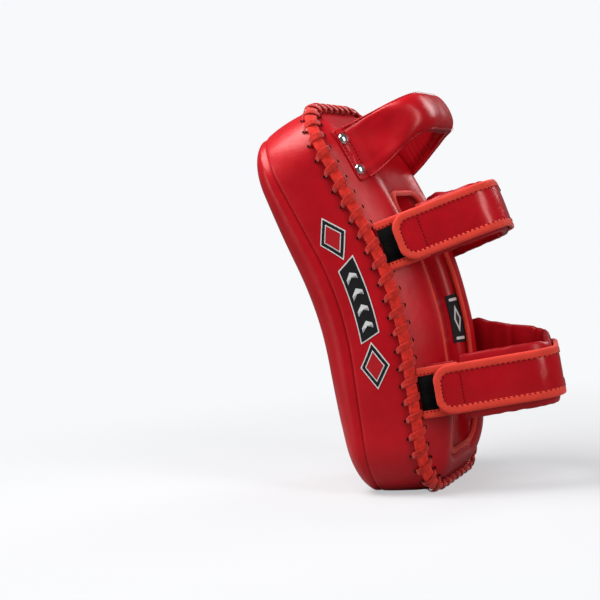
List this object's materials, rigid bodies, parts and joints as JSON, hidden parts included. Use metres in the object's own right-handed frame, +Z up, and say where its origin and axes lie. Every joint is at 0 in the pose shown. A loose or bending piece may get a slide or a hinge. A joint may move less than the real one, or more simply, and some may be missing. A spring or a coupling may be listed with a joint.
{
  "type": "thai pad",
  "caption": "Curved leather kick pad with a domed strike face, laced edge, padded arm channel, riveted grip and hook-and-loop forearm straps.",
  "frame": {"origin": "middle of the bounding box in X and Y, on the floor the pad stands on", "axes": "+Z up along the pad's length, the strike face looks along -Y, the arm side along +Y, X across the pad"},
  "size_m": [0.2109, 0.3066, 0.4064],
  "materials": {
    "red_leather": "gloss",
    "red_lining": "satin",
    "binding_tape": "matte",
    "suede_lace": "matte",
    "hook_loop": "matte",
    "foam": "matte",
    "plated_steel": "polished",
    "woven_label": "matte"
  },
  "bodies": {
    "pad": {"strike_panel": "red_leather", "strike_foam": "foam", "gusset_right": "red_leather", "gusset_left": "red_leather", "front_core_foam": "foam", "rear_core_foam": "foam", "back_cover": "red_leather", "rest_foam": "foam", "arm_channel_panel": "red_lining", "channel_binding": "binding_tape", "label_tab": "woven_label", "edge_cord": "suede_lace", "edge_lace": "suede_lace", "grip_flange_right": "red_leather", "grip_flange_left": "red_leather", "grip_rivets": "plated_steel", "rivet_washers": "plated_steel"},
    "grip": {"grip_cover": "red_leather", "grip_foam": "foam", "grip_lining": "red_lining"},
    "upper_base": {"upper_base_strap": "red_leather", "upper_base_binding": "binding_tape", "upper_base_pad": "red_lining", "upper_loop_patch": "hook_loop"},
    "upper_wrap": {"upper_wrap_strap": "red_leather", "upper_wrap_binding": "binding_tape", "upper_wrap_pad": "red_lining"},
    "upper_tip": {"upper_tip_strap": "red_leather", "upper_tip_binding": "binding_tape", "upper_tip_pad": "red_lining", "upper_hook_patch": "hook_loop"},
    "lower_base": {"lower_base_strap": "red_leather", "lower_base_binding": "binding_tape", "lower_base_pad": "red_lining", "lower_loop_patch": "hook_loop"},
    "lower_wrap": {"lower_wrap_strap": "red_leather", "lower_wrap_binding": "binding_tape", "lower_wrap_pad": "red_lining"},
    "lower_tip": {"lower_tip_strap": "red_leather", "lower_tip_binding": "binding_tape", "lower_tip_pad": "red_lining", "lower_hook_patch": "hook_loop"}
  },
  "joints": [
    {"name": "upper_strap_open", "type": "hinge", "parent": "pad", "child": "upper_wrap", "pos_m": [-0.0965, -0.00624, 0.25113], "axis": [0, -0.309, 0.9511], "range_deg": [0, 70]},
    {"name": "upper_tip_peel", "type": "hinge", "parent": "upper_wrap", "child": "upper_tip", "pos_m": [0.03, 0.09977, 0.28558], "axis": [0, -0.309, 0.9511], "range_deg": [0, 80]},
    {"name": "upper_base_flex", "type": "hinge", "parent": "pad", "child": "upper_base", "pos_m": [0.092, -0.011, 0.24959], "axis": [0, -0.309, 0.9511], "range_deg": [0, 10]},
    {"name": "lower_strap_open", "type": "hinge", "parent": "pad", "child": "lower_wrap", "pos_m": [-0.0965, 0.02199, 0.10393], "axis": [0, -0.1132, 0.9936], "range_deg": [0, 70]},
    {"name": "lower_tip_peel", "type": "hinge", "parent": "lower_wrap", "child": "lower_tip", "pos_m": [0.03, 0.14764, 0.11825], "axis": [0, -0.1132, 0.9936], "range_deg": [0, 80]},
    {"name": "lower_base_flex", "type": "hinge", "parent": "pad", "child": "lower_base", "pos_m": [0.092, 0.01702, 0.10337], "axis": [0, -0.1132, 0.9936], "range_deg": [0, 10]},
    {"name": "grip_tilt", "type": "hinge", "parent": "pad", "child": "grip", "pos_m": [0, -0.02789, 0.35056], "axis": [1, 0, 0], "range_deg": [-4, 4], "stiffness_Nm_per_rad": 3}
  ]
}
